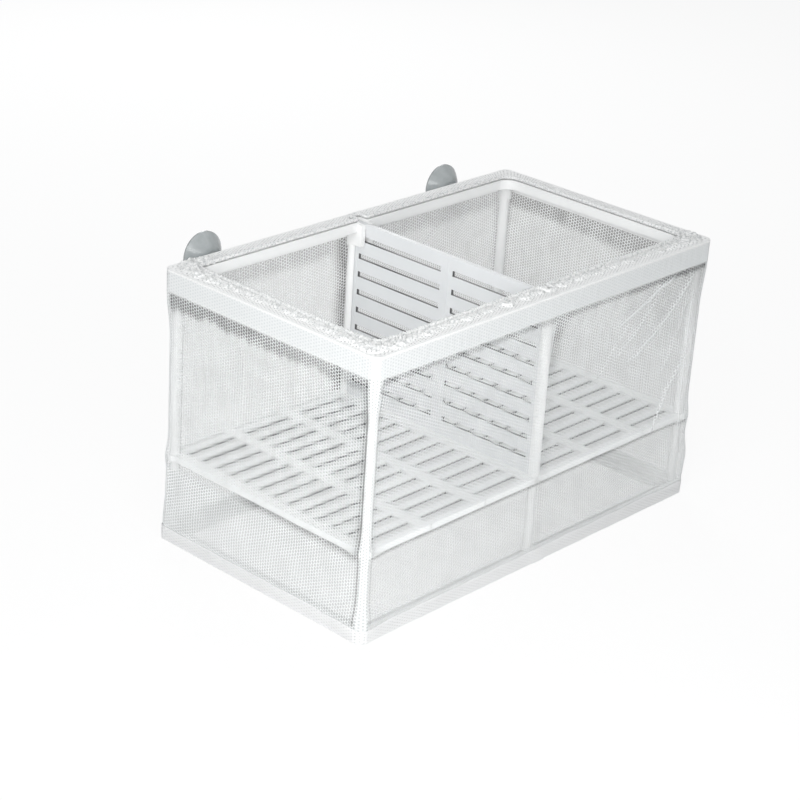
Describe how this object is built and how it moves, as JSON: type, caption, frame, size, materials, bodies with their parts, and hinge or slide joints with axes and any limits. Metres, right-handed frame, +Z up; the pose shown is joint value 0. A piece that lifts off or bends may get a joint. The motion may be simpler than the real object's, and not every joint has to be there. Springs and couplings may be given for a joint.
{
  "type": "net fish breeding box",
  "caption": "Open-topped net box on a push-fit frame, with slotted shelves, a lift-out slotted divider and suction cups on its back.",
  "frame": {"origin": "middle of the underside of the floor net", "axes": "+X along the length, +Y towards the tank wall that the suction cups hold, +Z up"},
  "size_m": [0.2672, 0.1666, 0.1606],
  "materials": {
    "frame_plastic": "white moulded plastic, semi-gloss",
    "shelf_plastic": "white moulded plastic, semi-gloss",
    "divider_plastic": "white moulded plastic, semi-gloss",
    "net_cloth": "fine white knitted nylon net",
    "seam_cloth": "folded layers of the white net",
    "elastic": "white covered elastic cord",
    "cup_vinyl": "clear soft vinyl, glossy"
  },
  "bodies": {
    "box": {"top_frame": "frame_plastic", "bottom_frame": "frame_plastic", "corner_post_front_left": "frame_plastic", "corner_post_front_right": "frame_plastic", "corner_post_back_left": "frame_plastic", "corner_post_back_right": "frame_plastic", "mid_post_front": "frame_plastic", "mid_post_back": "frame_plastic", "net_front": "net_cloth", "net_back": "net_cloth", "net_left": "net_cloth", "net_right": "net_cloth", "net_floor": "net_cloth", "net_hem": "seam_cloth", "hem_elastic": "elastic", "net_bottom_seam": "seam_cloth"},
    "divider": {"divider": "divider_plastic"},
    "shelf_left": {"shelf_left": "shelf_plastic"},
    "shelf_right": {"shelf_right": "shelf_plastic"},
    "cup_left": {"suction_cup_left": "cup_vinyl"},
    "cup_right": {"suction_cup_right": "cup_vinyl"}
  },
  "joints": [
    {"name": "divider_lift", "type": "slide", "parent": "box", "child": "divider", "axis": [0, 0, 1], "range_m": [0, 0.11]},
    {"name": "shelf_left_slide", "type": "slide", "parent": "box", "child": "shelf_left", "axis": [0, 0, 1], "range_m": [-0.038, 0]},
    {"name": "shelf_right_slide", "type": "slide", "parent": "box", "child": "shelf_right", "axis": [0, 0, 1], "range_m": [-0.038, 0]},
    {"name": "cup_left_turn", "type": "hinge", "parent": "box", "child": "cup_left", "pos_m": [-0.093, 0.075, 0.1476], "axis": [0, 1, 0], "continuous": true},
    {"name": "cup_right_turn", "type": "hinge", "parent": "box", "child": "cup_right", "pos_m": [0.093, 0.075, 0.1476], "axis": [0, 1, 0], "continuous": true}
  ]
}
